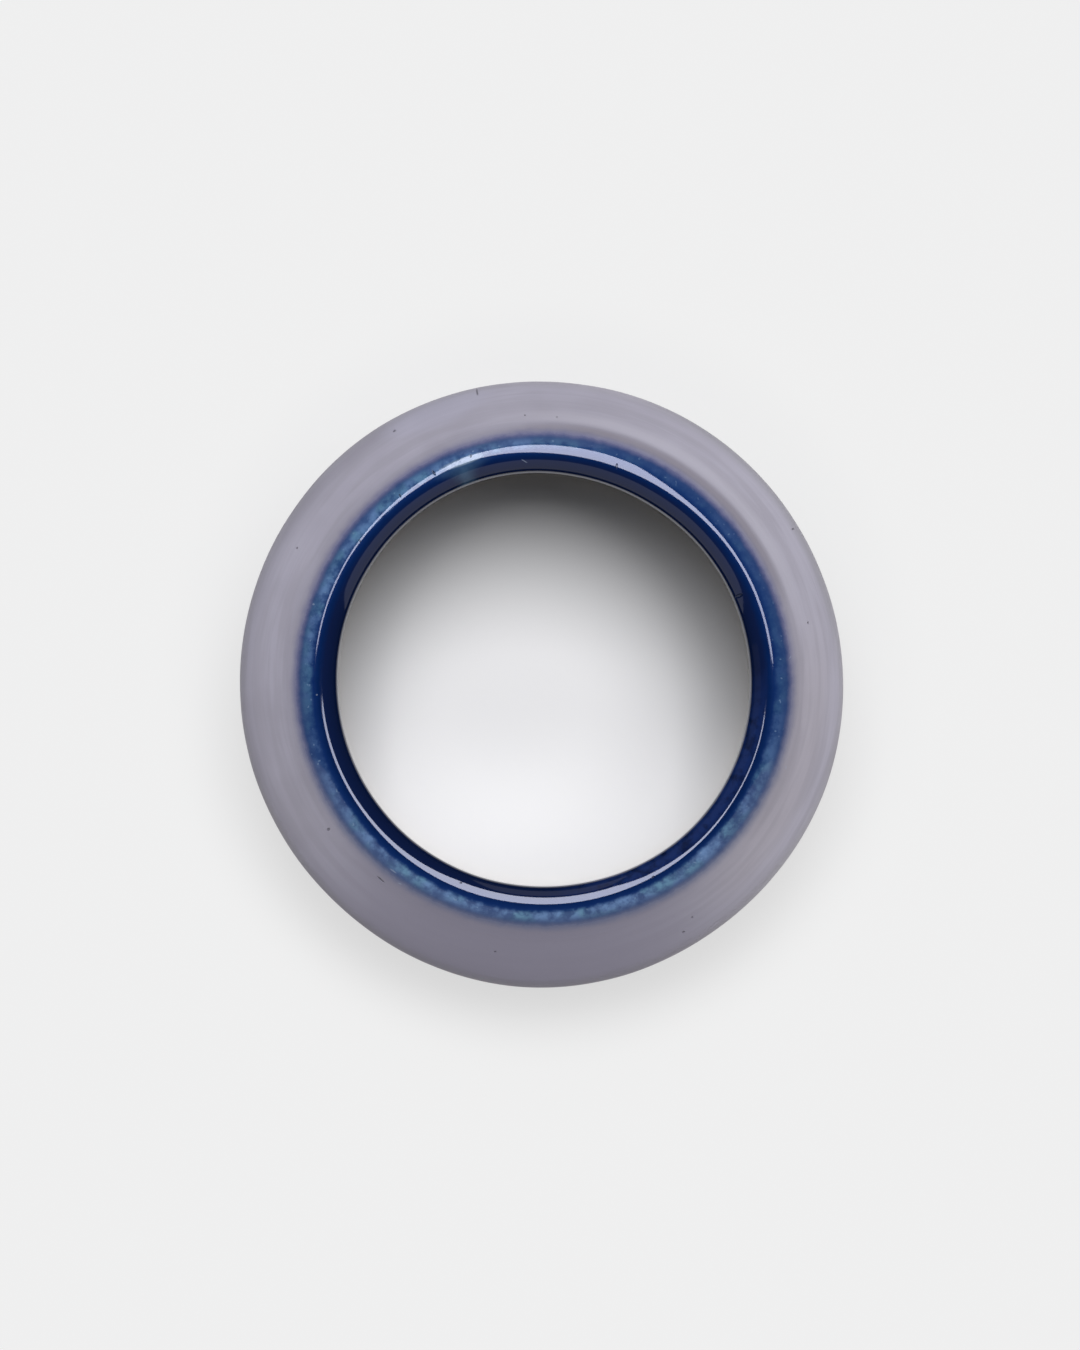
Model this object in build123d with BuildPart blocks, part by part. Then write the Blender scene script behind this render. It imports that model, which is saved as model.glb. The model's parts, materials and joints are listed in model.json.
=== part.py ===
from build123d import *
from math import cos, radians, sin
import os

os.makedirs("parts", exist_ok=True)

# A short ceramic guitar slide, worn on the finger like a ring. Lengths are in millimetres and
# angles in degrees. The origin is the centre of the foot, on the surface that the slide stands
# on, and +Z is the axis of the bore. Every piece is a solid of revolution about that axis: a
# clay body, and the glazes that are fired onto it.

# Overall sizes of the glazed ring.
height = 12.0
bore_radius = 10.0
outer_radius = 14.5
glaze_thickness = 0.3

# Lip: a small arc out of the bore, then a flatter crown arc that passes over the crest.
lip_radius = 0.69
lip_turn = 60.0
crown_radius = 1.15

# Flank: a slightly convex bevel from the crown down to the shoulder, given by its tilt at each
# end. The shoulder rounds the flank into the upright outer wall.
flank_tilt_at_crown = 36.0
flank_tilt_at_shoulder = 42.0
shoulder_radius = 1.15

# Foot: the lower crest of the clay is ground flat by this depth. The glazes stop above the foot,
# so that they don't stick to the kiln shelf, and end in a rounded edge.
grinding_depth = 0.25
glaze_line_height = 0.6
glaze_edge_radius = 0.14

# Radii where the upper end changes from liner glaze to the overlap of the two glazes, and from
# the overlap to the outer glaze.
liner_edge_radius = 11.35
overlap_edge_radius = 12.4

# Sizes that follow from those above.
crest_turn = 90 - lip_turn
lip_width = lip_radius * (1 - cos(radians(lip_turn))) + crown_radius * sin(radians(crest_turn))
lip_rise = lip_radius * sin(radians(lip_turn)) + crown_radius * (1 - cos(radians(crest_turn)))
crown_width = crown_radius * sin(radians(flank_tilt_at_crown))
shoulder_width = shoulder_radius * (1 - sin(radians(flank_tilt_at_shoulder)))
flank_width = outer_radius - shoulder_width - bore_radius - lip_width - crown_width
flank_radius = flank_width / (sin(radians(flank_tilt_at_shoulder)) - sin(radians(flank_tilt_at_crown)))
middle_height = (height - grinding_depth - glaze_thickness) / 2
reach = 2 * outer_radius

# Section of the whole glazed ring before grinding, drawn as radius across and height up: tangent
# arcs from the bore over the upper end to the outer wall, mirrored for the lower end.
with BuildSketch() as ring_section:
    with BuildLine():
        lip = JernArc((bore_radius, height - lip_rise), (0, 1), lip_radius, -lip_turn)
        crown = JernArc(lip @ 1, lip % 1, crown_radius, -crest_turn - flank_tilt_at_crown)
        flank = JernArc(crown @ 1, crown % 1, flank_radius, flank_tilt_at_crown - flank_tilt_at_shoulder)
        shoulder = JernArc(flank @ 1, flank % 1, shoulder_radius, flank_tilt_at_shoulder - 90)
        Line(shoulder @ 1, (outer_radius, middle_height))
        Line(lip @ 0, (bore_radius, middle_height))
        mirror(about=Plane.XZ.offset(-middle_height))
    make_face()

# Section of the fired coat: the outer skin of the ring, down to the glaze line.
with BuildSketch() as coat_section:
    add(ring_section.sketch)
    offset(ring_section.sketch, amount=-glaze_thickness, mode=Mode.SUBTRACT)
    with Locations((0, glaze_line_height)):
        Rectangle(reach, reach, align=(Align.MIN, Align.MAX), mode=Mode.SUBTRACT)

# Clay body: the ring under the coat, standing on its bare ground foot.
with BuildPart() as clay_body:
    with BuildSketch(Plane.XZ):
        offset(ring_section.sketch, amount=-glaze_thickness)
        Rectangle(reach, reach, align=(Align.MIN, Align.MAX), mode=Mode.SUBTRACT)
    revolve(axis=Axis.Z)

# Liner glaze: the gloss coat of the bore, the lip and the crest.
with BuildPart() as liner_glaze:
    with BuildSketch(Plane.XZ) as liner_section:
        add(coat_section.sketch)
        Rectangle(liner_edge_radius, height, align=Align.MIN, mode=Mode.INTERSECT)
        bore_corner = liner_section.vertices().group_by(Axis.Y)[0].sort_by(Axis.X)[0]
        fillet(bore_corner, glaze_edge_radius)
    revolve(axis=Axis.Z)

# Glaze overlap: the mottled band on the upper end where the liner glaze ran over the outer one.
with BuildPart() as glaze_overlap:
    with BuildSketch(Plane.XZ):
        add(coat_section.sketch)
        with Locations((liner_edge_radius, middle_height)):
            Rectangle(overlap_edge_radius - liner_edge_radius, height, align=Align.MIN, mode=Mode.INTERSECT)
    revolve(axis=Axis.Z)

# Outer glaze: the satin coat of the flanks and the outer wall.
with BuildPart() as outer_glaze:
    with BuildSketch(Plane.XZ) as outer_section:
        add(coat_section.sketch)
        Rectangle(liner_edge_radius, height, align=Align.MIN, mode=Mode.SUBTRACT)
        with Locations((0, middle_height)):
            Rectangle(overlap_edge_radius, height, align=Align.MIN, mode=Mode.SUBTRACT)
        wall_corner = outer_section.vertices().group_by(Axis.Y)[0].sort_by(Axis.X)[-1]
        fillet(wall_corner, glaze_edge_radius)
    revolve(axis=Axis.Z)

clay_body.part.label = "clay_body"
liner_glaze.part.label = "liner_glaze"
glaze_overlap.part.label = "glaze_overlap"
outer_glaze.part.label = "outer_glaze"

export_step(clay_body.part, "parts/clay_body.step")
export_step(liner_glaze.part, "parts/liner_glaze.step")
export_step(glaze_overlap.part, "parts/glaze_overlap.step")
export_step(outer_glaze.part, "parts/outer_glaze.step")
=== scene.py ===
import json
from math import acos, asin, cos, degrees, exp, hypot, pi, radians, sin, tan

import bpy
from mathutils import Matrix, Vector, noise


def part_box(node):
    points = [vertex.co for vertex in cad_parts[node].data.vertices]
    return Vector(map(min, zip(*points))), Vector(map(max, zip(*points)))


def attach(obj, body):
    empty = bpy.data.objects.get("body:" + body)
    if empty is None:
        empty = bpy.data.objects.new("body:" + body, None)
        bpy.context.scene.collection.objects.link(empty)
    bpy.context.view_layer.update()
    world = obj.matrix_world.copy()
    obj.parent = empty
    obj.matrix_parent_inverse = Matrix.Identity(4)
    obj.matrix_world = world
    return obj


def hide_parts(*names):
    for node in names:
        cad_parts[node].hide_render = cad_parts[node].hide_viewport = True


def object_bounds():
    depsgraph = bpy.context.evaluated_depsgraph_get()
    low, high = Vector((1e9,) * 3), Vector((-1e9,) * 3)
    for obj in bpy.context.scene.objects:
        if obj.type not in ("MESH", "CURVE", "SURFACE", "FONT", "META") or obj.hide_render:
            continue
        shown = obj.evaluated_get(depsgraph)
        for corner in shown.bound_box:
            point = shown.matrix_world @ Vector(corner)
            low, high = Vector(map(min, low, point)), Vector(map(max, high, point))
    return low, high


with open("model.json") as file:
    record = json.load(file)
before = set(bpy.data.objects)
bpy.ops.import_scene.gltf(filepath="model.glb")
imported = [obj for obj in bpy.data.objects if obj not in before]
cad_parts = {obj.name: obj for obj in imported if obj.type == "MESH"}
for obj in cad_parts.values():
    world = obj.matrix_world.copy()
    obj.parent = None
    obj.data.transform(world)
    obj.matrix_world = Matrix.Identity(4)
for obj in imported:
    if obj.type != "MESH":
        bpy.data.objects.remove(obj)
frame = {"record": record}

# The guitar slide in its finished looks: a hand-made ceramic ring, gloss dark blue over the lip,
# mottled where the two glazes run together, satin lavender outside and bare clay at the foot.
# Lengths are in metres, in the CAD frame: the bore is on the Z axis and the foot is at Z = 0. The
# materials work in millimetres. Bearings are in degrees round the ring, from +X towards +Y.

MM = 0.001

# Sizes of the ring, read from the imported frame.
cad_low, cad_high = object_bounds()
liner_low, liner_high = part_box("liner_glaze")
overlap_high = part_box("glaze_overlap")[1]
outer_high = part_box("outer_glaze")[1]
clay_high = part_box("clay_body")[1]
mounts = {mount["name"]: mount for mount in frame["record"]["mounts"]}

BORE_RADIUS = mounts["finger_bore"]["dims"]["r_mm"] * MM
OUTER_RADIUS = outer_high.x
HEIGHT = cad_high.z
GLAZE_THICKNESS = outer_high.x - clay_high.x
GLAZE_LINE = liner_low.z
LINER_EDGE = liner_high.x
OVERLAP_EDGE = overlap_high.x

# The section's arcs, as in the CAD: lip, crown, flank and shoulder, by radius and by tilt. A tilt
# is the outward normal's angle from straight up: -90 degrees faces the axis, 90 faces outwards.
LIP_RADIUS = 0.69 * MM
CROWN_RADIUS = 1.15 * MM
SHOULDER_RADIUS = 1.15 * MM
GRINDING_DEPTH = 0.25 * MM
EDGE_RADIUS = 0.14 * MM
BORE_TILT = -90
LIP_TILT = -30
FLANK_TOP_TILT = 36
FLANK_BOTTOM_TILT = 42
WALL_TILT = 90

# Mesh density: steps round the ring, and the step along each kind of stretch of the section, in
# degrees along the tight arcs. The hidden sides, where coat and clay meet, are coarser.
SEGMENTS = 432
ARC_STEP = 1.0
SHOULDER_STEP = 2.0
EDGE_STEP = 10.0
FLANK_STEP = 0.065 * MM
WALL_STEP = 0.15 * MM
BORE_STEP = 0.25 * MM
HIDDEN_COARSENESS = 4

# Points nearer than this are one point, a skin's own points stop at least this far above its
# rounded edge, and edges sharper than this angle in degrees are shaded sharp.
SAME_PLACE = 1e-7
EDGE_CLEARANCE = 0.005 * MM
SHARP_ANGLE = 35


# --- Section -------------------------------------------------------------------------------

def point_at(arc, tilt, depth=0.0):
    """The point of an arc at a tilt, in (radius, height), at a depth under the glazed surface."""
    centre_r, centre_z, radius = arc
    reach = radius - depth
    return centre_r + reach * sin(radians(tilt)), centre_z + reach * cos(radians(tilt))


def next_arc(arc, tilt, radius):
    """An arc of another radius that carries on from an arc at a tilt, with a common tangent."""
    centre_r, centre_z = point_at(arc, tilt)
    return centre_r - radius * sin(radians(tilt)), centre_z - radius * cos(radians(tilt)), radius


lip_turn = radians(LIP_TILT - BORE_TILT)
lip_width = LIP_RADIUS * (1 - cos(lip_turn)) - CROWN_RADIUS * sin(radians(LIP_TILT))
CREST_RADIUS = BORE_RADIUS + lip_width
flank_inner = CREST_RADIUS + CROWN_RADIUS * sin(radians(FLANK_TOP_TILT))
flank_outer = OUTER_RADIUS - SHOULDER_RADIUS * (1 - sin(radians(FLANK_BOTTOM_TILT)))
flank_bend = sin(radians(FLANK_BOTTOM_TILT)) - sin(radians(FLANK_TOP_TILT))

CROWN_ARC = (CREST_RADIUS, HEIGHT - CROWN_RADIUS, CROWN_RADIUS)
LIP_ARC = next_arc(CROWN_ARC, LIP_TILT, LIP_RADIUS)
FLANK_ARC = next_arc(CROWN_ARC, FLANK_TOP_TILT, (flank_outer - flank_inner) / flank_bend)
SHOULDER_ARC = next_arc(FLANK_ARC, FLANK_BOTTOM_TILT, SHOULDER_RADIUS)
MIDDLE_HEIGHT = (HEIGHT - GRINDING_DEPTH - GLAZE_THICKNESS) / 2


def mirrored(arc):
    """The matching arc of the lower end."""
    centre_r, centre_z, radius = arc
    return centre_r, 2 * MIDDLE_HEIGHT - centre_z, radius


def tilt_at_radius(arc, radius, depth):
    """The tilt at which an arc of the upper end crosses a radius."""
    return degrees(asin((radius - arc[0]) / (arc[2] - depth)))


def tilt_at_height(arc, height, depth):
    """The tilt at which an arc of the outside crosses a height."""
    return degrees(acos((height - arc[1]) / (arc[2] - depth)))


def coarseness(depth):
    """How many times wider the steps are at a depth: hidden faces need few of them."""
    return HIDDEN_COARSENESS if depth > 0 else 1


def along_arc(arc, start, end, depth, step=ARC_STEP):
    """Section points (radius, height, tilt) from one tilt of an arc to another."""
    count = max(2, round(abs(end - start) / (step * coarseness(depth))))
    tilts = [start + (end - start) * i / count for i in range(count + 1)]
    return [(*point_at(arc, tilt, depth), tilt) for tilt in tilts]


def upright(radius, start, end, depth, tilt, step):
    """Section points (radius, height, tilt) along a stretch parallel to the axis."""
    count = max(2, round(abs(end - start) / (step * coarseness(depth))))
    return [(radius, start + (end - start) * i / count, tilt) for i in range(count + 1)]


def joined(*stretches):
    """One chain from stretches that meet end to end, without the doubled points."""
    chain = list(stretches[0])
    for stretch in stretches[1:]:
        gap = hypot(stretch[0][0] - chain[-1][0], stretch[0][1] - chain[-1][1])
        chain += stretch[1:] if gap < SAME_PLACE else stretch
    return chain


def flank_step(depth):
    """The tilt step that gives the flank its point spacing."""
    return degrees(FLANK_STEP / (FLANK_ARC[2] - depth))


def rounded_edge(skin):
    """A skin that ends on the glaze line, turned in there to the glaze's flat underside."""
    tilt = skin[-1][2]
    lowest = GLAZE_LINE + EDGE_RADIUS * (1 + cos(radians(tilt)))
    kept = [point for point in skin if point[1] > lowest + EDGE_CLEARANCE]
    share = (kept[-1][1] - lowest) / (kept[-1][1] - skin[-1][1])
    edge_r = kept[-1][0] + share * (skin[-1][0] - kept[-1][0])
    edge_arc = (edge_r - EDGE_RADIUS * sin(radians(tilt)), GLAZE_LINE + EDGE_RADIUS, EDGE_RADIUS)
    return kept + along_arc(edge_arc, tilt, 180 if tilt > 0 else -180, 0.0, EDGE_STEP)


def edged(skin):
    """A skin with its end on the glaze line rounded, if it has one."""
    if abs(skin[-1][1] - GLAZE_LINE) < SAME_PLACE:
        return rounded_edge(skin)
    if abs(skin[0][1] - GLAZE_LINE) < SAME_PLACE:
        return list(reversed(rounded_edge(list(reversed(skin)))))
    return skin


def liner_skin(depth):
    """The bore, lip and crown, from the glaze line up to where the overlap begins."""
    return joined(
        upright(BORE_RADIUS + depth, GLAZE_LINE, LIP_ARC[1], depth, BORE_TILT, BORE_STEP),
        along_arc(LIP_ARC, BORE_TILT, LIP_TILT, depth),
        along_arc(CROWN_ARC, LIP_TILT, tilt_at_radius(CROWN_ARC, LINER_EDGE, depth), depth),
    )


def overlap_skin(depth):
    """The band from the crown to the inner part of the flank."""
    inner = tilt_at_radius(CROWN_ARC, LINER_EDGE, depth)
    outer = tilt_at_radius(FLANK_ARC, OVERLAP_EDGE, depth)
    return joined(
        along_arc(CROWN_ARC, inner, FLANK_TOP_TILT, depth),
        along_arc(FLANK_ARC, FLANK_TOP_TILT, outer, depth, flank_step(depth)),
    )


def outer_skin(depth):
    """The flank, shoulder and wall, round the lower shoulder and down to the glaze line."""
    wall = OUTER_RADIUS - depth
    inner = tilt_at_radius(FLANK_ARC, OVERLAP_EDGE, depth)
    lower_flank = mirrored(FLANK_ARC)
    lower_shoulder = mirrored(SHOULDER_ARC)
    glaze_end = tilt_at_height(lower_flank, GLAZE_LINE, depth)
    return joined(
        along_arc(FLANK_ARC, inner, FLANK_BOTTOM_TILT, depth, flank_step(depth)),
        along_arc(SHOULDER_ARC, FLANK_BOTTOM_TILT, WALL_TILT, depth, SHOULDER_STEP),
        upright(wall, SHOULDER_ARC[1], lower_shoulder[1], depth, WALL_TILT, WALL_STEP),
        along_arc(lower_shoulder, WALL_TILT, 180 - FLANK_BOTTOM_TILT, depth, SHOULDER_STEP),
        along_arc(lower_flank, 180 - FLANK_BOTTOM_TILT, glaze_end, depth, flank_step(depth)),
    )


# --- Hand-made shape -----------------------------------------------------------------------

# How far the ring is from round: (waves in one turn, size in millimetres, direction of a peak in
# degrees). The rows of 2 to 5 waves are a scratch program's fit to the edges in the photo, rounded,
# with one size changed since. The rows of 0 and 1 wave were adjusted against renders.
HOLE_WAVES = (
    (0, -0.075, 0),
    (1, 0.07, -83),
    (2, 0.06, -50),
    (3, 0.04, -15),
    (4, 0.02, 35),
    (5, 0.015, 30),
)
OUTSIDE_WAVES = (
    (0, 0.015, 0),
    (1, 0.24, -113),
    (2, 0.05, -65),
    (3, 0.025, 20),
    (4, 0.015, -10),
    (5, 0.025, -20),
)

# Where the crest is pushed off its circle: (size, distance out from the crest and width across in
# millimetres, direction and width round in degrees).
CREST_BULGES = (
    (0.09, 0.00, 0.50, 108, 12),
    (-0.13, 0.40, 0.50, 57, 28),
    (-0.06, -0.05, 0.35, 84, 18),
)

# How far the hole's shape reaches into the wall, and the glaze's lower edge, as if wiped with a
# finger: how much it rises, over what height, and how wide its patches are.
HOLE_REACH = 2 * MM
WIPED_RISE = 0.11 * MM
WIPED_WIDTH = 0.22 * MM
WIPED_PATCH = 2.6 * MM

# The surface: swelling, throwing lines on the walls, and one ridge and groove on the flank. The
# relief fades out at the foot, which was ground flat.
SWELL_RISE = 0.008 * MM
SWELL_PATCH = 2.4 * MM
THROWING_PITCH = 1.45 * MM
THROWING_DRIFT = 5 * MM
THROWING_PATCH = 3.5 * MM
OUTSIDE_LINES = 0.014 * MM
BORE_LINES = 0.004 * MM
RIDGE_RISE = 0.034 * MM
RIDGE_RADIUS = 12.68 * MM
RIDGE_WIDTH = 0.30 * MM
GROOVE_DEPTH = 0.024 * MM
GROOVE_RADIUS = 12.15 * MM
GROOVE_WIDTH = 0.25 * MM
RIDGE_BEARING = 58
RIDGE_SPREAD = 34
FOOT_FADE = 0.3 * MM


def waves(table, angle):
    """The sum of a few waves round the ring, in metres."""
    return sum(size * MM * cos(count * (angle - radians(peak))) for count, size, peak in table)


def smooth_step(value, low, high):
    """0 below low and 1 above high, with an even curve between."""
    t = min(1.0, max(0.0, (value - low) / (high - low)))
    return t * t * (3 - 2 * t)


def hump(value, centre, width):
    """1 at the centre, falling off evenly to both sides."""
    return exp(-(((value - centre) / width) ** 2))


def side_hump(angle, bearing, width):
    """1 on the side of the ring at a bearing, falling off to both sides, in degrees."""
    aside = (degrees(angle) - bearing + 180) % 360 - 180
    return hump(aside, 0, width)


def crest_shift(radius, angle):
    """How far the crest is pushed outwards, in metres."""
    shift = 0.0
    for size, out, across, bearing, width in CREST_BULGES:
        near = hump(radius, CREST_RADIUS + out * MM, across * MM)
        shift += size * MM * near * side_hump(angle, bearing, width)
    return shift


def hand_made(radius, height, angle):
    """The true section's point, moved as the potter's hands left it."""
    inside = 1 - smooth_step(radius, BORE_RADIUS, BORE_RADIUS + HOLE_REACH)
    outside = smooth_step(radius, CREST_RADIUS, OUTER_RADIUS)
    shift = crest_shift(radius, angle)
    radius += waves(HOLE_WAVES, angle) * inside + waves(OUTSIDE_WAVES, angle) * outside + shift
    point = Vector((radius * cos(angle), radius * sin(angle), height))
    wiped = 0.5 + noise.noise(Vector((point.x, point.y, 0.0)) / WIPED_PATCH)
    point.z += WIPED_RISE * wiped * hump(height, GLAZE_LINE, WIPED_WIDTH)
    return point


def relief(point, tilt, angle):
    """How far the fired surface stands above its smooth shape."""
    swell = SWELL_RISE * noise.noise(point / SWELL_PATCH)
    turns = point.z / THROWING_PITCH + 0.6 * noise.noise(point / THROWING_DRIFT)
    strength = OUTSIDE_LINES if tilt > 0 else BORE_LINES
    strength *= 0.8 + 0.6 * noise.noise(point / THROWING_PATCH)
    upright_part = smooth_step(abs(tilt), 40, 80) * smooth_step(180 - abs(tilt), 0, 25)
    throwing = strength * sin(2 * pi * turns) * upright_part
    out = hypot(point.x, point.y)
    ridge = RIDGE_RISE * hump(out, RIDGE_RADIUS, RIDGE_WIDTH)
    groove = GROOVE_DEPTH * hump(out, GROOVE_RADIUS, GROOVE_WIDTH)
    on_flank = side_hump(angle, RIDGE_BEARING, RIDGE_SPREAD) * smooth_step(tilt, 0, 30)
    step = (ridge - groove) * on_flank
    return (swell + throwing + step) * smooth_step(point.z, 0.0, FOOT_FADE)


# --- Meshes --------------------------------------------------------------------------------

def placed(name, data, location=(0, 0, 0)):
    """A new object in the scene."""
    made = bpy.data.objects.new(name, data)
    made.location = location
    bpy.context.scene.collection.objects.link(made)
    return made


def ring_points(skin, backing):
    """The points of a skin and its hidden backing, one section after another round the ring."""
    points = []
    for k in range(SEGMENTS):
        angle = 2 * pi * k / SEGMENTS
        for radius, height, tilt in skin:
            point = hand_made(radius, height, angle)
            out = sin(radians(tilt))
            normal = Vector((cos(angle) * out, sin(angle) * out, cos(radians(tilt))))
            points.append(point + normal * relief(point, tilt, angle))
        for radius, height, tilt in backing:
            points.append(hand_made(radius, height, angle))
    return points


def ring_faces(count):
    """Four-sided faces between neighbouring sections of so many points, closed both ways."""
    faces = []
    for k in range(SEGMENTS):
        here = k * count
        there = (k + 1) % SEGMENTS * count
        for i in range(count):
            j = (i + 1) % count
            faces.append((here + i, here + j, there + j, there + i))
    return faces


def revolved(name, skin, backing, node):
    """A closed piece of the ring: its seen skin, revolved, and the hidden chain that closes it."""
    mesh = bpy.data.meshes.new(name)
    mesh.from_pydata(ring_points(skin, backing), [], ring_faces(len(skin) + len(backing)))
    mesh.polygons.foreach_set("use_smooth", [True] * len(mesh.polygons))
    mesh.set_sharp_from_angle(angle=radians(SHARP_ANGLE))
    piece = placed(name, mesh)
    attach(piece, "root")
    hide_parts(node)
    return piece


def clay_chain():
    """The clay's whole section, from the foot's inner edge up the bore and down the outside."""
    depth = GLAZE_THICKNESS
    lower_lip = mirrored(LIP_ARC)
    lower_flank = mirrored(FLANK_ARC)
    lower_shoulder = mirrored(SHOULDER_ARC)
    foot_inner = -tilt_at_height(lower_lip, 0.0, depth)
    foot_outer = tilt_at_height(lower_flank, 0.0, depth)
    bore = BORE_RADIUS + depth
    wall = OUTER_RADIUS - depth
    return joined(
        along_arc(lower_lip, foot_inner, BORE_TILT, depth),
        upright(bore, lower_lip[1], LIP_ARC[1], depth, BORE_TILT, BORE_STEP),
        along_arc(LIP_ARC, BORE_TILT, LIP_TILT, depth),
        along_arc(CROWN_ARC, LIP_TILT, FLANK_TOP_TILT, depth),
        along_arc(FLANK_ARC, FLANK_TOP_TILT, FLANK_BOTTOM_TILT, depth, flank_step(depth)),
        along_arc(SHOULDER_ARC, FLANK_BOTTOM_TILT, WALL_TILT, depth, SHOULDER_STEP),
        upright(wall, SHOULDER_ARC[1], lower_shoulder[1], depth, WALL_TILT, WALL_STEP),
        along_arc(lower_shoulder, WALL_TILT, 180 - FLANK_BOTTOM_TILT, depth, SHOULDER_STEP),
        along_arc(lower_flank, 180 - FLANK_BOTTOM_TILT, foot_outer, depth, flank_step(depth)),
    )


def make_ring():
    """The four pieces of the ring."""
    pieces = {}
    for name, skin, node, slot_name in (
        ("liner_coat", liner_skin, "liner_glaze", "gloss_blue_glaze"),
        ("overlap_band", overlap_skin, "glaze_overlap", "mottled_blue_glaze"),
        ("outer_coat", outer_skin, "outer_glaze", "satin_lavender_glaze"),
    ):
        backing = list(reversed(skin(GLAZE_THICKNESS)))
        pieces[name] = revolved(name, edged(skin(0.0)), backing, node)
    pieces["clay_ring"] = revolved("clay_ring", clay_chain(), [], "clay_body")
    return pieces


# --- Materials -----------------------------------------------------------------------------

def rgb(red, green, blue):
    return (red, green, blue, 1.0)


# The blue's colour by distance from the axis in millimetres, from the bore to its outer edge. The
# stops were set beside colours measured on the photo, and adjusted against renders.
BLUE_BY_RADIUS = (
    (10.00, rgb(0.0030, 0.0095, 0.042)),
    (10.55, rgb(0.0040, 0.0120, 0.056)),
    (10.80, rgb(0.0010, 0.0160, 0.085)),
    (11.05, rgb(0.0050, 0.0280, 0.130)),
    (11.30, rgb(0.0110, 0.0430, 0.160)),
    (11.60, rgb(0.0260, 0.0600, 0.180)),
    (11.78, rgb(0.0420, 0.0720, 0.180)),
    (11.90, rgb(0.0820, 0.1020, 0.200)),
)
MILK_BLUE = rgb(0.165, 0.300, 0.520)
MILK_GREEN = rgb(0.150, 0.330, 0.460)
DOT_BLUE = rgb(0.30, 0.45, 0.60)
LIVELY_BLUE = rgb(0.010, 0.028, 0.120)
RUN_BLUE = rgb(0.100, 0.205, 0.290)
TRAIL_BLUE = rgb(0.13, 0.25, 0.44)
PATCH_BLUE = rgb(0.34, 0.44, 0.52)
VIOLET_HAZE = rgb(0.100, 0.112, 0.290)
SLATE_HAZE = rgb(0.075, 0.130, 0.255)

LAVENDER = rgb(0.415, 0.393, 0.438)
PALE_LAVENDER = rgb(0.468, 0.446, 0.498)
EAST_PAINTED_LIGHT = rgb(0.575, 0.546, 0.592)
WARM_GREY = rgb(0.47, 0.42, 0.41)
LINE_GREY = rgb(0.29, 0.28, 0.33)
ARC_GREY = rgb(0.32, 0.297, 0.322)
SOUTH_PAINTED_SHADE = rgb(0.272, 0.253, 0.305)
SHOULDER_PAINTED_SHADE = rgb(0.20, 0.19, 0.225)
THIN_GREY = rgb(0.22, 0.20, 0.23)
GROOVE_PAINTED_SHADE = rgb(0.215, 0.190, 0.200)
RIDGE_PAINTED_LIGHT = rgb(0.55, 0.525, 0.560)
RIM_PAINTED_SHADE = rgb(0.29, 0.285, 0.29)
SHOULDER_PAINTED_LIGHT = rgb(0.52, 0.51, 0.60)

PIT_DARK = rgb(0.045, 0.042, 0.055)
FLECK_PALE = rgb(0.42, 0.50, 0.60)
BREAK_DARK = rgb(0.003, 0.010, 0.035)

CLAY_DARK = rgb(0.48, 0.39, 0.29)
CLAY_PALE = rgb(0.62, 0.53, 0.42)
CLAY_TOAST = rgb(0.36, 0.19, 0.09)
IRON_SPECK = rgb(0.09, 0.055, 0.035)

# How the blue's outer edge wanders: (waves in one turn, size in millimetres, direction of a peak in
# degrees). The same fit gave the directions of the rows of 2 and 3 waves, and the size of the last.
BLUE_EDGE_WAVES = (
    (1, 0.08, 103),
    (2, -0.04, -23),
    (3, -0.05, -28),
)

# Marks of wear and firing, placed one by one: (bearing in degrees, distance out in millimetres, turn in
# degrees, half length and half width in millimetres).
DARK_MARKS = (
    (-145, 12.6, 40, 0.10, 0.08),
    (-129, 12.4, -40, 0.27, 0.05),
    (103, 14.15, 100, 0.20, 0.05),
    (121, 13.9, 30, 0.09, 0.06),
    (94, 12.7, 0, 0.05, 0.035),
    (87, 12.6, 0, 0.045, 0.03),
    (-61, 13.9, 20, 0.08, 0.06),
    (-58, 13.5, 70, 0.06, 0.05),
    (152, 13.4, 60, 0.06, 0.05),
    (12, 13.0, 80, 0.07, 0.04),
    (31, 14.0, 20, 0.08, 0.05),
    (-100, 13.3, 10, 0.06, 0.05),
    (-61, 10.87, 40, 0.08, 0.05),
    (-112, 10.55, 0, 0.07, 0.04),
)
LIGHT_MARKS = (
    (-128, 11.7, -35, 0.24, 0.04),
    (-125, 12.0, -20, 0.12, 0.03),
    (162, 11.6, 0, 0.07, 0.06),
    (-176, 10.9, 10, 0.06, 0.05),
    (95, 10.5, -30, 0.20, 0.03),
    (5, 11.9, 60, 0.10, 0.03),
    (-20, 12.4, 90, 0.12, 0.03),
)
GLAZE_BREAKS = (
    (118, 11.22, 125, 0.17, 0.07),
    (128, 11.17, 120, 0.11, 0.05),
    (143, 11.04, 143, 0.09, 0.04),
    (108, 11.26, 90, 0.09, 0.05),
    (71, 10.82, 80, 0.13, 0.05),
    (23, 10.2, 23, 0.22, 0.10),
)
RUN_PATCH = (110, 11.13, 20, 1.45, 0.22)
RUN_TRAIL = (134, 11.10, 44, 2.9, 0.24)
# The shoulder's row below is no mark of wear or firing: it is a patch of painted light on the
# shoulder's side that faces the softbox.
SHOULDER_LIGHT_PATCH = (112, 13.76, 22, 3.4, 0.80)


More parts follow.
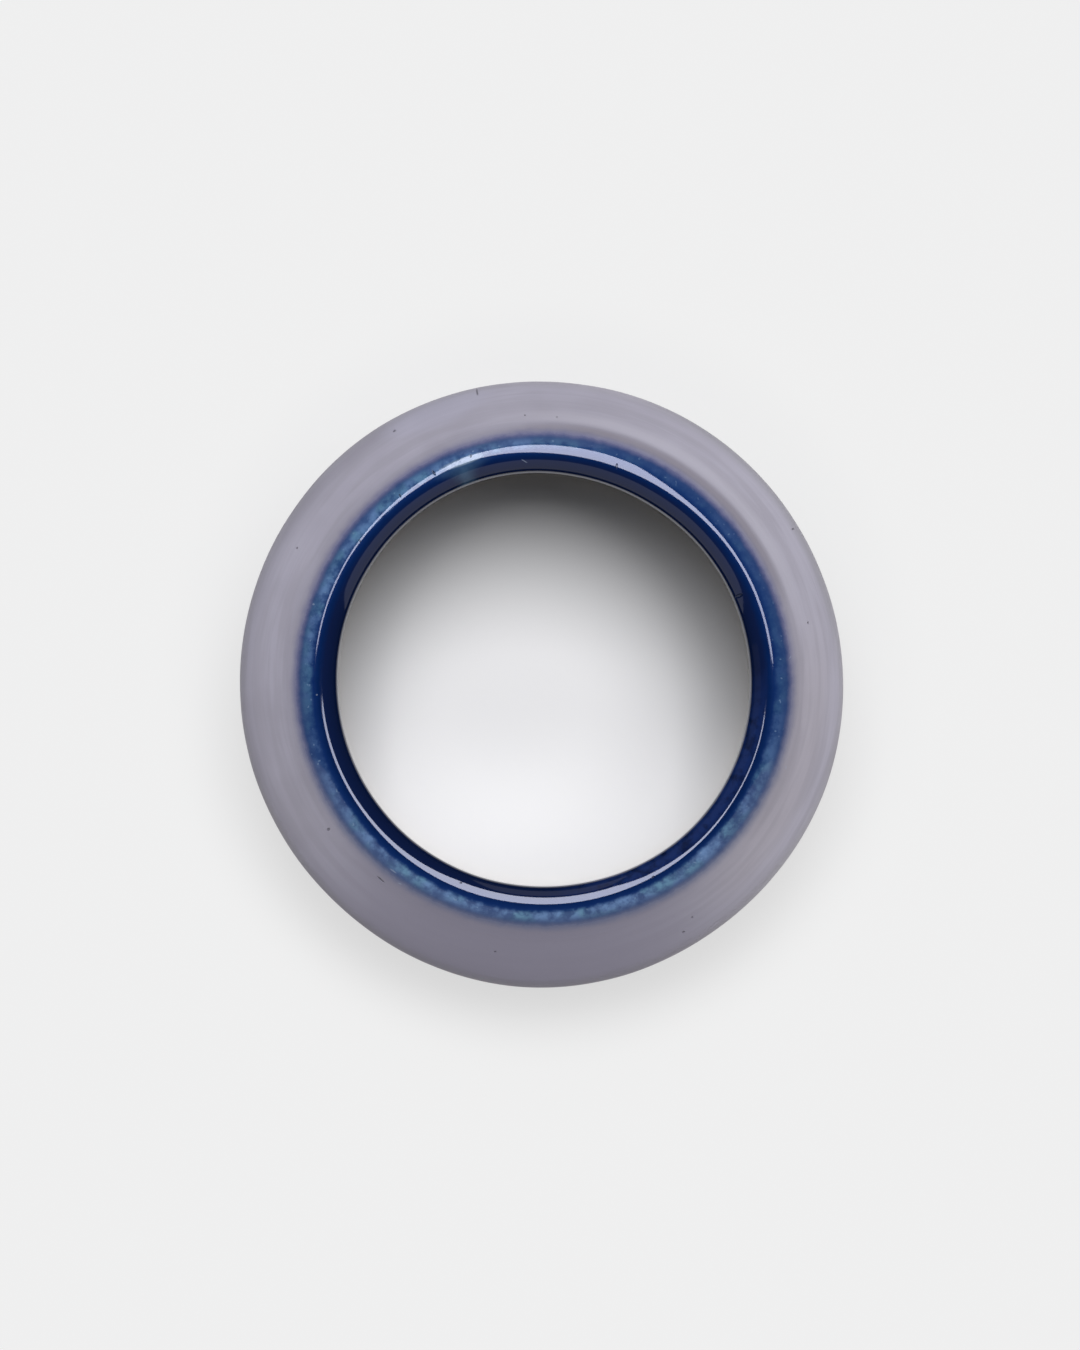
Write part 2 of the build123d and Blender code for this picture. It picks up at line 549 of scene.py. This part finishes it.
class Tree:
    """A node tree with short calls for the nodes that the materials need."""

    def __init__(self, tree):
        self.tree = tree

    def node(self, kind, inputs=(), **settings):
        """A new node, with what goes into its inputs."""
        made = self.tree.nodes.new(kind)
        for name, value in settings.items():
            setattr(made, name, value)
        for key, value in dict(inputs).items():
            self.put(made.inputs[key], value)
        return made

    def put(self, socket, value):
        """A plain value, or another node's output, into an input."""
        if isinstance(value, bpy.types.NodeSocket):
            self.tree.links.new(value, socket)
        else:
            socket.default_value = value

    def maths(self, operation, *values):
        """The result of one operation."""
        made = self.node("ShaderNodeMath", enumerate(values), operation=operation)
        return made.outputs[0]

    def total(self, result, *others):
        """All the values added together."""
        for value in others:
            result = self.maths("ADD", result, value)
        return result

    def product(self, result, *others):
        """All the values multiplied together."""
        for value in others:
            result = self.maths("MULTIPLY", result, value)
        return result

    def ease(self, value, low, high):
        """0 at low and 1 at high, smooth between."""
        ranged = self.node(
            "ShaderNodeMapRange",
            {"Value": value, "From Min": low, "From Max": high},
            interpolation_type="SMOOTHSTEP",
        )
        return ranged.outputs["Result"]

    def mix(self, factor, a, b):
        """A colour between two."""
        made = self.node("ShaderNodeMix", {0: factor, 6: a, 7: b}, data_type="RGBA")
        return made.outputs[2]

    def tinted(self, base, color, mask, strength):
        """A colour with another laid over it where a mask is, at a strength."""
        return self.mix(self.product(mask, strength), base, color)

    def ramp(self, value, stops):
        """A colour by value, from stops of (value, colour)."""
        low, high = stops[0][0], stops[-1][0]
        ranged = self.node("ShaderNodeMapRange", {"Value": value, "From Min": low, "From Max": high})
        made = self.node("ShaderNodeValToRGB", {0: ranged.outputs["Result"]})
        elements = made.color_ramp.elements
        while len(elements) < len(stops):
            elements.new(0.5)
        for element, (at, color) in zip(elements, stops):
            element.position = (at - low) / (high - low)
            element.color = color
        return made.outputs["Color"]

    def vector(self, x, y, z):
        return self.node("ShaderNodeCombineXYZ", {0: x, 1: y, 2: z}).outputs[0]

    def noise(self, vector, scale, detail=2.0, rough=0.5):
        inputs = {"Vector": vector, "Scale": scale, "Detail": detail, "Roughness": rough}
        return self.node("ShaderNodeTexNoise", inputs).outputs[0]


def millimetres(t):
    """The x, y and z of a point, in millimetres."""
    position = t.node("ShaderNodeTexCoord").outputs["Object"]
    split = t.node("ShaderNodeSeparateXYZ", {0: position})
    return [t.product(axis, 1 / MM) for axis in split.outputs]


def distance_out(t, x, y):
    """How far (x, y) is from (0, 0)."""
    return t.maths("SQRT", t.total(t.product(x, x), t.product(y, y)))


def wave(t, angle, count, size, bearing):
    """A wave with a whole number of turns round the ring, and a peak at a bearing."""
    turned = t.product(t.maths("SUBTRACT", angle, radians(bearing)), count)
    return t.product(t.maths("COSINE", turned), size)


class Glaze:
    """Where a point is on the fired ring, in millimetres, and the noises that both glazes share."""

    def __init__(self, t):
        self.t = t
        self.x, self.y, self.z = millimetres(t)
        self.radius = distance_out(t, self.x, self.y)
        self.east = t.maths("DIVIDE", self.x, self.radius)
        self.north = t.maths("DIVIDE", self.y, self.radius)
        self.place = t.vector(self.x, self.y, self.z)
        self.clouds = t.noise(self.place, 1.8, 4.0, 0.60)
        self.drifts = t.ease(t.noise(self.place, 0.5, 1.0), 0.35, 0.7)
        self.tints = t.noise(self.place, 0.8, 1.0)
        self.dots = t.noise(self.place, 4.5, 1.0)
        slope = t.maths("SUBTRACT", self.radius, self.z)
        self.lines = t.noise(self.round_the_ring(slope, 1.2, 9.0), 1.0, 3.0, 0.6)
        self.arcs = t.noise(self.round_the_ring(slope, 2.5, 1.6), 1.0, 2.0)
        self.swing = t.maths("SUBTRACT", self.clouds, 0.5)
        self.ragged = t.product(self.swing, 0.22)
        angle = t.maths("ARCTAN2", self.north, self.east)
        wander = t.total(*[wave(t, angle, *row) for row in BLUE_EDGE_WAVES])
        self.faded = t.total(self.radius, wander, self.ragged)

    def round_the_ring(self, slope, turn_scale, slope_scale):
        """Coordinates that stretch a noise along the ring."""
        t = self.t
        a = t.product(self.east, turn_scale)
        b = t.product(self.north, turn_scale)
        return t.vector(a, b, t.product(slope, slope_scale))

    def towards(self, bearing):
        """1 on the side of the ring at a bearing, -1 opposite, with a cosine between."""
        t = self.t
        east_part = t.product(self.east, cos(radians(bearing)))
        return t.total(east_part, t.product(self.north, sin(radians(bearing))))

    def aside(self, bearing):
        """The distance sideways from the line out from the axis at a bearing."""
        return self.t.product(self.towards(bearing - 90), self.radius)

    def spot(self, bearing, out, turn, length, width):
        """An ellipse seen from above: 1 in its middle and 0 beyond its edge."""
        t = self.t
        from_x = t.maths("SUBTRACT", self.x, out * cos(radians(bearing)))
        from_y = t.maths("SUBTRACT", self.y, out * sin(radians(bearing)))
        c = cos(radians(turn))
        s = sin(radians(turn))
        along = t.total(t.product(from_x, c / length), t.product(from_y, s / length))
        across = t.total(t.product(from_x, -s / width), t.product(from_y, c / width))
        return t.ease(t.total(t.product(along, along), t.product(across, across)), 1.0, 0.15)

    def marks(self, table):
        """All the spots of a table together, on the upper side of the ring only."""
        found = self.spot(*table[0])
        for row in table[1:]:
            found = self.t.maths("MAXIMUM", found, self.spot(*row))
        return self.t.product(found, self.t.ease(self.z, 8.8, 9.4))


def blue_glaze(t, at):
    """The blue over the lip: dark in the bore, mottled and milky outside the crest."""
    blue = t.ramp(at.faded, BLUE_BY_RADIUS)
    west = t.ease(at.towards(133), 0.45, 1.0)
    south = t.ease(at.towards(-88), 0.0, 1.0)
    start = t.total(at.radius, at.ragged, t.product(west, 0.10))
    mottled = t.product(t.ease(start, 11.06, 11.32), t.ease(at.faded, 11.82, 11.42))
    depth = t.total(0.13, t.product(south, 0.74), t.product(west, 0.52))
    clouded = t.product(t.ease(at.clouds, 0.34, 0.68), 0.85)
    spread = t.total(0.18, clouded, t.product(at.drifts, 0.25))
    milk = t.mix(t.ease(at.tints, 0.42, 0.60), MILK_BLUE, MILK_GREEN)
    blue = t.mix(t.product(mottled, depth, spread), blue, milk)
    dots = t.product(t.ease(at.dots, 0.68, 0.78), mottled)
    blue = t.tinted(blue, DOT_BLUE, dots, 0.35)
    lively = t.product(t.ease(at.towards(-42), 0.65, 0.95), t.ease(at.radius, 10.85, 10.6))
    lively = t.product(lively, t.ease(at.clouds, 0.30, 0.60), t.ease(at.z, 9.0, 11.0))
    return t.mix(lively, blue, LIVELY_BLUE)


def pale_run(t, at, blue):
    """A paler, thinner run of glaze across the lip at one bearing, with a milky patch at its top."""
    aside = t.total(at.aside(111), t.product(at.swing, 0.5))
    reach = t.total(0.75, t.product(t.ease(at.radius, 10.45, 10.95), 1.15))
    run = t.ease(t.maths("DIVIDE", t.maths("ABSOLUTE", aside), reach), 1.0, 0.0)
    run = t.product(run, t.ease(at.north, 0.0, 0.2), t.ease(at.z, 9.6, 11.6))
    run = t.product(run, t.ease(at.radius, 11.35, 11.1), t.total(0.08, t.product(at.clouds, 0.5)))
    blue = t.mix(run, blue, RUN_BLUE)
    trail = t.product(at.marks([RUN_TRAIL]), t.ease(at.clouds, 0.30, 0.60))
    blue = t.tinted(blue, TRAIL_BLUE, trail, 0.45)
    patch = t.product(at.marks([RUN_PATCH]), t.ease(at.clouds, 0.30, 0.55))
    return t.tinted(blue, PATCH_BLUE, patch, 0.75)


def lavender_glaze(t, at):
    """The satin glaze outside: soft patches, arcs from the wheel, darker in its thin places, with
    painted light on the east side, painted shade towards the south and painted shade on the shoulder's
    west side.
    """
    patches = t.ease(t.noise(at.place, 0.28, 2.0), 0.3, 0.7)
    pale = t.mix(patches, LAVENDER, PALE_LAVENDER)
    # Painted light: the lavender is lighter towards the east, where more of the softbox's light falls.
    pale = t.tinted(pale, EAST_PAINTED_LIGHT, t.ease(at.east, -0.1, 1.0), 0.50)
    warm = t.product(t.ease(at.towards(-22), 0.75, 1.0), t.ease(at.radius, 14.2, 13.2))
    pale = t.tinted(pale, WARM_GREY, warm, 0.35)
    pale = t.tinted(pale, LINE_GREY, t.ease(at.lines, 0.35, 0.75), 0.12)
    pale = t.tinted(pale, ARC_GREY, t.ease(at.arcs, 0.60, 0.35), 0.28)
    # Painted shade: the lavender darkens towards the south, the side away from the softbox.
    pale = t.tinted(pale, SOUTH_PAINTED_SHADE, t.ease(at.towards(-97), 0.54, 1.0), 0.9)
    # Painted shade on the shoulder, strongest on the west side, away from the light.
    shoulder = t.product(t.ease(at.z, 10.3, 9.3), t.ease(at.z, 8.2, 9.0))
    shoulder = t.product(shoulder, t.ease(at.towards(185), -0.3, 0.6))
    pale = t.tinted(pale, SHOULDER_PAINTED_SHADE, shoulder, 0.45)
    thin = t.product(t.ease(at.faded, 12.85, 12.05), t.ease(at.z, 8.0, 9.0))
    return t.tinted(pale, THIN_GREY, thin, 0.30)


def flank_light_and_shade(t, at, pale):
    """Painted light and shade on the flank: painted shade in the groove and painted light on the ridge
    of one turn of the wheel, and near the shoulder painted shade along the rim and a patch of painted
    light.
    """
    # Painted shade in the groove and painted light on the ridge, on the quarter towards bearing 56,
    # over the groove and ridge of the relief.
    quarter = t.product(t.ease(at.towards(56), 0.62, 0.97), t.ease(at.z, 8.0, 9.0))
    groove = t.product(t.ease(at.radius, 11.85, 12.02), t.ease(at.radius, 12.42, 12.18))
    pale = t.tinted(pale, GROOVE_PAINTED_SHADE, t.product(groove, quarter), 0.50)
    ridge = t.product(t.ease(at.radius, 12.28, 12.52), t.ease(at.radius, 13.10, 12.60))
    pale = t.tinted(pale, RIDGE_PAINTED_LIGHT, t.product(ridge, quarter), 0.55)
    # Painted shade along the outer rim towards bearing 36, where the shoulder turns down away from the
    # light.
    rim = t.product(t.ease(at.towards(36), 0.80, 0.98), t.ease(at.radius, 13.75, 14.25))
    pale = t.tinted(pale, RIM_PAINTED_SHADE, rim, 0.40)
    # Painted light: a pale patch on the shoulder towards bearing 112, on the side facing the light.
    return t.tinted(pale, SHOULDER_PAINTED_LIGHT, at.marks([SHOULDER_LIGHT_PATCH]), 0.30)


def glaze_color(t, at, dark_marks, light_marks, breaks):
    """The blue, fading through a haze into the lavender, with the marks on top."""
    blue = pale_run(t, at, blue_glaze(t, at))
    pale = flank_light_and_shade(t, at, lavender_glaze(t, at))
    haze = t.mix(t.ease(at.towards(-85), -0.2, 0.7), VIOLET_HAZE, SLATE_HAZE)
    blue = t.tinted(blue, haze, t.ease(at.faded, 11.62, 11.92), 0.55)
    color = t.mix(t.ease(at.faded, 11.62, 12.26), blue, pale)
    color = t.tinted(color, PIT_DARK, dark_marks, 0.55)
    color = t.tinted(color, FLECK_PALE, light_marks, 0.40)
    return t.tinted(color, BREAK_DARK, breaks, 0.7)


def glaze_roughness(t, at, satin):
    """Gloss over the lip and satin outside, both a little uneven."""
    base = t.node("ShaderNodeMapRange", {"Value": satin, "To Min": 0.05, "To Max": 0.62})
    speckle = t.maths("SUBTRACT", t.noise(at.place, 6.0, 2.0), 0.5)
    uneven = t.total(0.02, t.product(satin, 0.08))
    return t.total(base.outputs["Result"], t.product(speckle, uneven))


def glaze_normal(t, at, satin, pits):
    """A smooth gloss, a fine grain on the satin, and pits at the dark marks and the breaks."""
    grain = t.noise(at.place, 9.0, 3.0, 0.6)
    height = t.total(t.product(grain, 0.35), t.product(at.lines, 0.65))
    height = t.product(height, t.total(0.05, t.product(satin, 0.95)))
    bump = t.node("ShaderNodeBump", {"Strength": 0.25, "Distance": 0.04 * MM, "Height": height})
    inputs = {"Strength": 0.8, "Distance": 0.06 * MM, "Height": pits, "Normal": bump.outputs[0]}
    return t.node("ShaderNodeBump", inputs, invert=True).outputs[0]


def fired_glaze():
    """The node group that colours both glazes and their overlap, as one continuous pattern."""
    group = bpy.data.node_groups.new("fired_glaze", "ShaderNodeTree")
    sockets = {"Color": "NodeSocketColor", "Roughness": "NodeSocketFloat", "Normal": "NodeSocketVector"}
    for name, kind in sockets.items():
        group.interface.new_socket(name, in_out="OUTPUT", socket_type=kind)
    t = Tree(group)
    at = Glaze(t)
    dark_marks = at.marks(DARK_MARKS)
    light_marks = at.marks(LIGHT_MARKS)
    breaks = at.marks(GLAZE_BREAKS)
    satin = t.ease(at.faded, 11.55, 12.3)
    end = t.node("NodeGroupOutput")
    t.put(end.inputs["Color"], glaze_color(t, at, dark_marks, light_marks, breaks))
    t.put(end.inputs["Roughness"], glaze_roughness(t, at, satin))
    t.put(end.inputs["Normal"], glaze_normal(t, at, satin, t.maths("MAXIMUM", dark_marks, breaks)))
    return group


def new_material(name):
    """A material, its node tree and its shader."""
    material = bpy.data.materials.new(name)
    material.use_nodes = True
    t = Tree(material.node_tree)
    return material, t, t.tree.nodes["Principled BSDF"]


def glaze_material(name, group, ior, tint):
    """A glaze: the shared pattern, with the gloss's index and tint."""
    material, t, shader = new_material(name)
    pattern = t.node("ShaderNodeGroup", node_tree=group)
    t.put(shader.inputs["Base Color"], pattern.outputs["Color"])
    t.put(shader.inputs["Roughness"], pattern.outputs["Roughness"])
    t.put(shader.inputs["Normal"], pattern.outputs["Normal"])
    shader.inputs["IOR"].default_value = ior
    shader.inputs["Specular Tint"].default_value = tint
    return material


def clay_material():
    """Bare stoneware: buff, toasted beside the glaze, with grog and iron specks."""
    material, t, shader = new_material("bare_stoneware")
    x, y, z = millimetres(t)
    place = t.vector(x, y, z)
    color = t.mix(t.noise(place, 0.8, 3.0), CLAY_DARK, CLAY_PALE)
    color = t.tinted(color, CLAY_TOAST, t.ease(z, 0.15, 0.62), 0.55)
    specks = t.node("ShaderNodeTexVoronoi", {"Vector": place, "Scale": 2.6}).outputs["Distance"]
    color = t.mix(t.ease(specks, 0.16, 0.08), color, IRON_SPECK)
    t.put(shader.inputs["Base Color"], color)
    shader.inputs["Roughness"].default_value = 0.9
    grain = t.noise(place, 7.0, 4.0, 0.7)
    bump = t.node("ShaderNodeBump", {"Strength": 0.7, "Distance": 0.08 * MM, "Height": grain})
    t.put(shader.inputs["Normal"], bump.outputs[0])
    return material


# --- Stage ---------------------------------------------------------------------------------

# Lights and cards are placed in metres, and cards by bearing and elevation in degrees.
BLACK = rgb(0.0, 0.0, 0.0)
WHITE = rgb(1.0, 1.0, 1.0)
CARD_TINT = rgb(1.0, 1.0, 1.06)
SOFTBOX_TINT = (0.97, 0.985, 1.10)
SOFTBOX_HEIGHT = 1.0
FLOOR_IN_HOLE = rgb(0.860, 0.845, 0.775)
FLOOR_UNDER_RING = rgb(0.25, 0.25, 0.23)
FLOOR_AWAY = rgb(0.02, 0.02, 0.02)
DARK_STUDIO = rgb(0.03, 0.03, 0.03)
PALE_BACKDROP = rgb(0.871, 0.871, 0.871)


def softbox(name, west, east, south, north, radiance):
    """An even rectangular light facing down, unseen by the camera itself."""
    light = bpy.data.lights.new(name, "AREA")
    light.shape = "RECTANGLE"
    light.size = east - west
    light.size_y = north - south
    light.energy = radiance * pi * light.size * light.size_y
    light.color = SOFTBOX_TINT
    holder = placed(name, light, ((west + east) / 2, (south + north) / 2, SOFTBOX_HEIGHT))
    holder.visible_camera = False


def band_mesh(name, distance, bearings, elevations, corner):
    """A curved band round part of the ring. Its top corners are cut round if it has a corner number,
    and the higher the number, the smaller the cut.
    """
    steps = 48
    cut = 0.85 if corner else 0.0
    low, high = elevations
    points = []
    for i in range(steps + 1):
        bearing = radians(bearings[0] + (bearings[1] - bearings[0]) * i / steps)
        top = high - cut * (high - low) * abs(2 * i / steps - 1) ** corner
        for elevation in (low, top):
            up = distance * tan(radians(elevation))
            points.append((distance * cos(bearing), distance * sin(bearing), up))
    faces = [(2 * i, 2 * i + 1, 2 * i + 3, 2 * i + 2) for i in range(steps)]
    mesh = bpy.data.meshes.new(name)
    mesh.from_pydata(points, [], faces)
    return mesh


def band_card(name, distance, bearings, elevations, radiance, glossy=False, diffuse=False, corner=0):
    """A curved card that glows evenly, unseen by the camera itself, for gloss or for matt light."""
    card = placed(name, band_mesh(name, distance, bearings, elevations, corner))
    card.visible_camera = False
    card.visible_glossy = glossy
    card.visible_diffuse = diffuse
    material, _, shader = new_material(name)
    shader.inputs["Base Color"].default_value = BLACK
    shader.inputs["Specular IOR Level"].default_value = 0.0
    shader.inputs["Emission Color"].default_value = CARD_TINT
    shader.inputs["Emission Strength"].default_value = radiance
    card.data.materials.append(material)


def make_lights():
    """A softbox overhead towards +Y, with a gap for the camera, and pale walls and fills around."""
    softbox("softbox", west=-0.24, east=0.32, south=0.11, north=0.75, radiance=8.4)
    softbox("softbox_edge_west", west=-0.24, east=-0.15, south=0.03, north=0.11, radiance=7.5)
    softbox("softbox_edge_east", west=0.15, east=0.32, south=0.03, north=0.11, radiance=7.5)
    band_card("wall_south", 1.0, (199, 341), (1, 61), 0.50, glossy=True, corner=24)
    band_card("wall_south_matte", 1.1, (199, 341), (1, 60), 0.22, diffuse=True)
    band_card("wall_north", 1.0, (71, 112), (10, 45), 0.38, glossy=True, corner=6)
    band_card("wall_west", 1.0, (112, 190), (10, 50), 0.10, glossy=True)
    band_card("fill_east", 1.2, (-40, 40), (1, 25), 0.35, diffuse=True)
    band_card("fill_west", 1.2, (140, 220), (1, 25), 0.35, diffuse=True)


def floor_glow(t, x, y, radius, under, away):
    """The floor's own light: under and away from the ring, and in the middle and on the near side
    of the hole.
    """
    off_centre = distance_out(t, t.total(x, 1.5), t.total(y, 1.5))
    middle = t.product(t.ease(off_centre, 10.5, 3.0), 0.18)
    near_side = t.product(t.ease(y, -1.0, -8.0), t.ease(radius, 11.5, 9.5), 0.15)
    return t.total(t.product(under, 0.63), t.product(away, 0.22), middle, near_side)


def make_floor():
    """A pale surface just under the foot. It glows evenly away from the ring, so that the shadow
    stays faint and near.
    """
    side = 2.0
    level = -0.02 * MM
    mesh = bpy.data.meshes.new("floor")
    corners = [(-side, -side, level), (side, -side, level), (side, side, level), (-side, side, level)]
    mesh.from_pydata(corners, [], [(0, 1, 2, 3)])
    floor = placed("floor", mesh)
    material, t, shader = new_material("pale_floor")
    x, y = millimetres(t)[:2]
    radius = distance_out(t, x, y)
    under = t.ease(radius, 11.5, 13.5)
    away = t.ease(radius, 14.5, 19.0)
    color = t.mix(away, t.mix(under, FLOOR_IN_HOLE, FLOOR_UNDER_RING), FLOOR_AWAY)
    t.put(shader.inputs["Base Color"], color)
    t.put(shader.inputs["Emission Strength"], floor_glow(t, x, y, radius, under, away))
    shader.inputs["Emission Color"].default_value = WHITE
    shader.inputs["Roughness"].default_value = 1.0
    shader.inputs["Specular IOR Level"].default_value = 0.0
    mesh.materials.append(material)


def make_world():
    """A dark studio for the light, and a pale backdrop for the camera."""
    world = bpy.data.worlds.new("studio")
    bpy.context.scene.world = world
    world.use_nodes = True
    t = Tree(world.node_tree)
    seen = t.node("ShaderNodeLightPath").outputs["Is Camera Ray"]
    t.put(t.tree.nodes["Background"].inputs["Color"], t.mix(seen, DARK_STUDIO, PALE_BACKDROP))


def make_camera():
    """Straight down the bore, from far enough that the bore's wall stays out of sight."""
    distance = 2.2
    frame_height = 64.8 * MM
    camera = bpy.data.cameras.new("camera")
    camera.sensor_width = 36.0
    camera.lens = camera.sensor_width * (distance - HEIGHT) / frame_height
    camera.clip_end = 10.0
    bpy.context.scene.camera = placed("camera", camera, (-0.16 * MM, 0.19 * MM, distance))
    bpy.context.scene.view_settings.view_transform = "Standard"


make_camera()
make_lights()
make_floor()
make_world()
ring = make_ring()
pattern = fired_glaze()
cobalt_gloss = rgb(0.86, 0.89, 1.0)
materials = {
    "liner_coat": glaze_material("gloss_blue_glaze", pattern, 1.6, cobalt_gloss),
    "overlap_band": glaze_material("mottled_blue_glaze", pattern, 1.6, cobalt_gloss),
    "outer_coat": glaze_material("satin_lavender_glaze", pattern, 1.5, WHITE),
    "clay_ring": clay_material(),
}
for name, material in materials.items():
    ring[name].data.materials.append(material)
